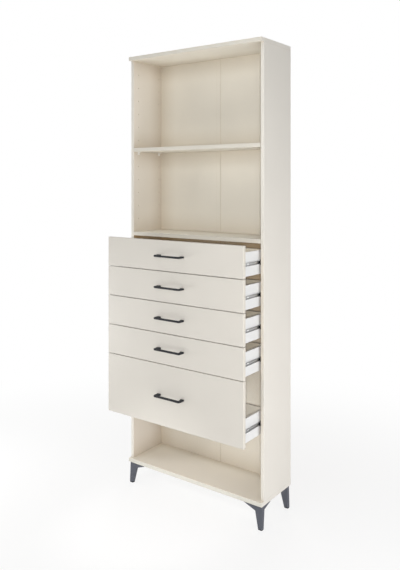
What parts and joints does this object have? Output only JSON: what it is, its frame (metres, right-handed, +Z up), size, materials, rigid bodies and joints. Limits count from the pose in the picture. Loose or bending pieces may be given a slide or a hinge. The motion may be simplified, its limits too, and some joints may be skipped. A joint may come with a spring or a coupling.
{
  "type": "bookcase with drawers",
  "caption": "Tall narrow bookcase on splayed feet, with open shelves above a stack of pull-out drawers on ball-bearing slides and an open niche beneath them.",
  "frame": {"origin": "on the floor under the middle of the bounding box, with the drawers pulled out as pictured", "axes": "+Z up, +Y towards the wall behind, +X to the right as seen from the front"},
  "size_m": [0.75, 0.425, 2.067],
  "materials": {
    "cream_board": "satin laminate on chipboard",
    "back_board": "printed hardboard",
    "cream_plastic": "matte",
    "white_plastic": "matte",
    "dowel_wood": "bare beech",
    "slate_plastic": "matte",
    "black_plastic": "matte",
    "screw_steel": "zinc plated",
    "slide_steel": "zinc plated",
    "white_board": "smooth white foil",
    "anthracite_metal": "fine matte powder coat"
  },
  "bodies": {
    "carcass": {"left_side_panel": "cream_board", "right_side_panel": "cream_board", "top_panel": "cream_board", "base_panel": "cream_board", "fixed_shelf": "cream_board", "adjustable_shelf": "cream_board", "back_panel_left": "back_board", "back_panel_right": "back_board", "back_joining_strip": "cream_plastic", "shelf_pins": "white_plastic", "carcass_dowels": "dowel_wood", "foot_front_left": "slate_plastic", "foot_front_right": "slate_plastic", "foot_rear_left": "slate_plastic", "foot_rear_right": "slate_plastic", "foot_glides": "black_plastic", "slide_bumpers": "black_plastic", "foot_screws": "screw_steel", "slide_channels": "slide_steel"},
    "drawer_1": {"drawer_1_front": "cream_board", "drawer_1_left_side": "white_board", "drawer_1_right_side": "white_board", "drawer_1_back": "white_board", "drawer_1_bottom": "white_board", "drawer_1_handle": "anthracite_metal", "drawer_1_slide_rails": "slide_steel"},
    "cage_1": {"drawer_1_ball_cages": "slide_steel"},
    "drawer_2": {"drawer_2_front": "cream_board", "drawer_2_left_side": "white_board", "drawer_2_right_side": "white_board", "drawer_2_back": "white_board", "drawer_2_bottom": "white_board", "drawer_2_handle": "anthracite_metal", "drawer_2_slide_rails": "slide_steel"},
    "cage_2": {"drawer_2_ball_cages": "slide_steel"},
    "drawer_3": {"drawer_3_front": "cream_board", "drawer_3_left_side": "white_board", "drawer_3_right_side": "white_board", "drawer_3_back": "white_board", "drawer_3_bottom": "white_board", "drawer_3_handle": "anthracite_metal", "drawer_3_slide_rails": "slide_steel"},
    "cage_3": {"drawer_3_ball_cages": "slide_steel"},
    "drawer_4": {"drawer_4_front": "cream_board", "drawer_4_left_side": "white_board", "drawer_4_right_side": "white_board", "drawer_4_back": "white_board", "drawer_4_bottom": "white_board", "drawer_4_handle": "anthracite_metal", "drawer_4_slide_rails": "slide_steel"},
    "cage_4": {"drawer_4_ball_cages": "slide_steel"},
    "drawer_5": {"drawer_5_front": "cream_board", "drawer_5_left_side": "white_board", "drawer_5_right_side": "white_board", "drawer_5_back": "white_board", "drawer_5_bottom": "white_board", "drawer_5_handle": "anthracite_metal", "drawer_5_slide_rails": "slide_steel"},
    "cage_5": {"drawer_5_ball_cages": "slide_steel"}
  },
  "joints": [
    {"name": "drawer_1_slide", "type": "slide", "parent": "carcass", "child": "drawer_1", "axis": [0, -1, 0], "range_m": [-0.141, 0.009]},
    {"name": "cage_1_slide", "type": "slide", "parent": "carcass", "child": "cage_1", "axis": [0, -1, 0], "range_m": [-0.0705, 0.0045]},
    {"name": "drawer_2_slide", "type": "slide", "parent": "carcass", "child": "drawer_2", "axis": [0, -1, 0], "range_m": [-0.141, 0.009]},
    {"name": "cage_2_slide", "type": "slide", "parent": "carcass", "child": "cage_2", "axis": [0, -1, 0], "range_m": [-0.0705, 0.0045]},
    {"name": "drawer_3_slide", "type": "slide", "parent": "carcass", "child": "drawer_3", "axis": [0, -1, 0], "range_m": [-0.141, 0.009]},
    {"name": "cage_3_slide", "type": "slide", "parent": "carcass", "child": "cage_3", "axis": [0, -1, 0], "range_m": [-0.0705, 0.0045]},
    {"name": "drawer_4_slide", "type": "slide", "parent": "carcass", "child": "drawer_4", "axis": [0, -1, 0], "range_m": [-0.141, 0.009]},
    {"name": "cage_4_slide", "type": "slide", "parent": "carcass", "child": "cage_4", "axis": [0, -1, 0], "range_m": [-0.0705, 0.0045]},
    {"name": "drawer_5_slide", "type": "slide", "parent": "carcass", "child": "drawer_5", "axis": [0, -1, 0], "range_m": [-0.141, 0.009]},
    {"name": "cage_5_slide", "type": "slide", "parent": "carcass", "child": "cage_5", "axis": [0, -1, 0], "range_m": [-0.0705, 0.0045]}
  ],
  "couplings": [
    {"joint": "cage_1_slide", "follows": "drawer_1_slide", "ratio": 0.5},
    {"joint": "cage_2_slide", "follows": "drawer_2_slide", "ratio": 0.5},
    {"joint": "cage_3_slide", "follows": "drawer_3_slide", "ratio": 0.5},
    {"joint": "cage_4_slide", "follows": "drawer_4_slide", "ratio": 0.5},
    {"joint": "cage_5_slide", "follows": "drawer_5_slide", "ratio": 0.5}
  ]
}
